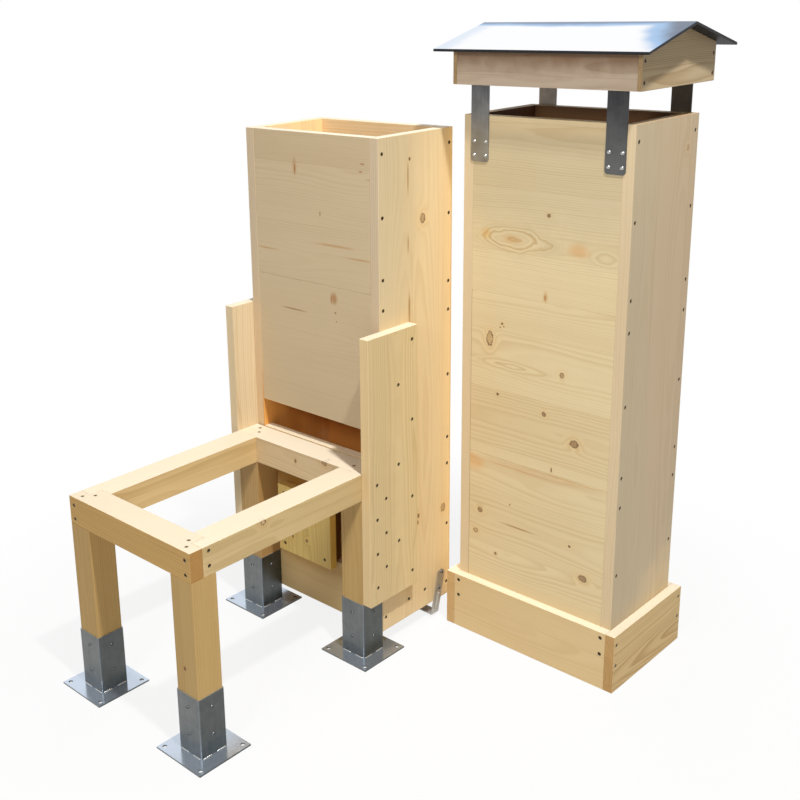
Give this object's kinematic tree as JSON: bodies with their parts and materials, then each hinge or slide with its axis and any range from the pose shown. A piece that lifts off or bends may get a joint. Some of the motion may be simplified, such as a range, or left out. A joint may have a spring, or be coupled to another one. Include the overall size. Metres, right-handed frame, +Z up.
{
  "type": "hive stand with flight chimney",
  "caption": "Timber hive stand on bolt-down steel post bases with a board flight chimney behind it, a push-in hatch, and a separate skirted chimney top under a gabled metal roof.",
  "frame": {"origin": "middle of the whole part's footprint, on the floor", "axes": "+Z up, -Y towards the low frame that carries the hive, +X towards the loose chimney top"},
  "size_m": [1.038, 1.222, 1.5419],
  "materials": {
    "galvanised_steel": "dull zinc coating with a faint spangle",
    "leg_timber": "planed softwood, darker",
    "rail_timber": "planed softwood, bare",
    "chimney_boards": "planed softwood board with knots, bare",
    "skirt_boards": "planed softwood board, bare",
    "hatch_timber": "planed softwood, darker",
    "strap_steel": "rolled steel strip",
    "roof_metal": "bright rolled sheet",
    "screw_steel": "plated screw"
  },
  "bodies": {
    "stand": {"post_base_front_left": "galvanised_steel", "post_base_front_right": "galvanised_steel", "post_base_rear_left": "galvanised_steel", "post_base_rear_right": "galvanised_steel", "leg_front_left": "leg_timber", "leg_front_right": "leg_timber", "leg_rear_left": "leg_timber", "leg_rear_right": "leg_timber", "front_rail": "rail_timber", "rear_rail": "rail_timber", "left_rail": "rail_timber", "right_rail": "rail_timber", "left_cheek": "chimney_boards", "right_cheek": "chimney_boards", "lower_left_panel": "chimney_boards", "lower_right_panel": "chimney_boards", "lower_front_board_bottom": "chimney_boards", "lower_front_board_middle": "chimney_boards", "lower_front_board_top": "chimney_boards", "lower_back_board_bottom": "chimney_boards", "lower_back_board_middle": "chimney_boards", "lower_back_board_top": "chimney_boards", "lower_floor": "hatch_timber", "foot_bracket_left": "galvanised_steel", "foot_bracket_right": "galvanised_steel", "base_screws": "screw_steel", "frame_screws": "screw_steel", "cheek_screws": "screw_steel", "lower_chimney_screws": "screw_steel", "bracket_screws": "screw_steel"},
    "hatch": {"hatch_board": "hatch_timber", "hatch_plug": "hatch_timber", "hatch_screws": "screw_steel"},
    "upper_section": {"upper_left_panel": "chimney_boards", "upper_right_panel": "chimney_boards", "upper_front_board_bottom": "chimney_boards", "upper_front_board_middle": "chimney_boards", "upper_front_board_top": "chimney_boards", "upper_back_board_bottom": "chimney_boards", "upper_back_board_middle": "chimney_boards", "upper_back_board_top": "chimney_boards", "skirt_front": "skirt_boards", "skirt_back": "skirt_boards", "skirt_left": "skirt_boards", "skirt_right": "skirt_boards", "strap_front_left": "strap_steel", "strap_front_right": "strap_steel", "strap_back_left": "strap_steel", "strap_back_right": "strap_steel", "roof_front_board": "chimney_boards", "roof_back_board": "chimney_boards", "left_gable": "chimney_boards", "right_gable": "chimney_boards", "roof_sheet": "roof_metal", "upper_chimney_screws": "screw_steel", "skirt_screws": "screw_steel", "strap_screws": "screw_steel", "roof_screws": "screw_steel"}
  },
  "joints": [
    {"name": "hatch_slide", "type": "slide", "parent": "stand", "child": "hatch", "axis": [0, -1, 0], "range_m": [-0.01, 0.2]},
    {"name": "upper_lift", "type": "slide", "parent": "stand", "child": "upper_section", "axis": [0, 0, 1], "range_m": [0, 1.31]}
  ]
}
